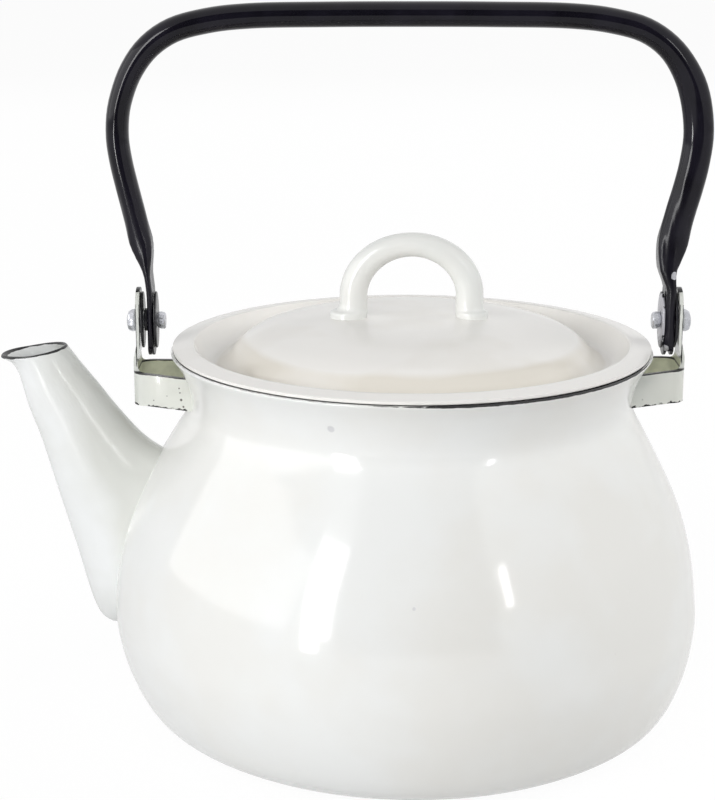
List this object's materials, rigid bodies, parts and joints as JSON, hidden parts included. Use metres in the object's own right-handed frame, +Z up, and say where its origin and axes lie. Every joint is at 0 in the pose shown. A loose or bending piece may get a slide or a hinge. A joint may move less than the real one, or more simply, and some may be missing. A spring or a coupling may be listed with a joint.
{
  "type": "enamel teapot",
  "caption": "Round-bellied enamelled steel teapot with a conical side spout, a lift-off lid with a loop grip, and a tubular bail handle that swings on riveted brackets.",
  "frame": {"origin": "centre of the flat base, on the surface the pot stands on, on the pot's own axis", "axes": "+Z up along the pot's axis, -X towards the spout, Y across; the bail swings about an axis along X"},
  "size_m": [0.2657, 0.2236, 0.2721],
  "materials": {
    "pot_enamel": "gloss vitreous enamel, white",
    "lid_enamel": "gloss vitreous enamel, warm white",
    "bracket_enamel": "gloss vitreous enamel, white with chipped black edges",
    "bail_enamel": "gloss black enamel over steel tube",
    "rivet_steel": "hammered bright steel",
    "leaf_black": "black enamelled sheet"
  },
  "bodies": {
    "pot": {"pot_body": "pot_enamel", "spout": "pot_enamel", "bracket_left": "bracket_enamel", "bracket_right": "bracket_enamel", "rivet_left": "rivet_steel", "rivet_right": "rivet_steel", "friction_leaf_outer_left": "leaf_black", "friction_leaf_inner_left": "leaf_black", "friction_leaf_outer_right": "leaf_black", "friction_leaf_inner_right": "leaf_black", "spacer_washer_left": "leaf_black"},
    "bail": {"bail_handle": "bail_enamel"},
    "lid": {"lid_shell": "lid_enamel", "lid_loop": "lid_enamel"}
  },
  "joints": [
    {"name": "handle_swing", "type": "hinge", "parent": "pot", "child": "bail", "pos_m": [-0.001, 0, 0.1547], "axis": [1, 0, 0], "range_deg": [-116, 116]},
    {"name": "lid_lift", "type": "slide", "parent": "pot", "child": "lid", "axis": [0, 0, 1], "range_m": [0, 0.06]}
  ]
}
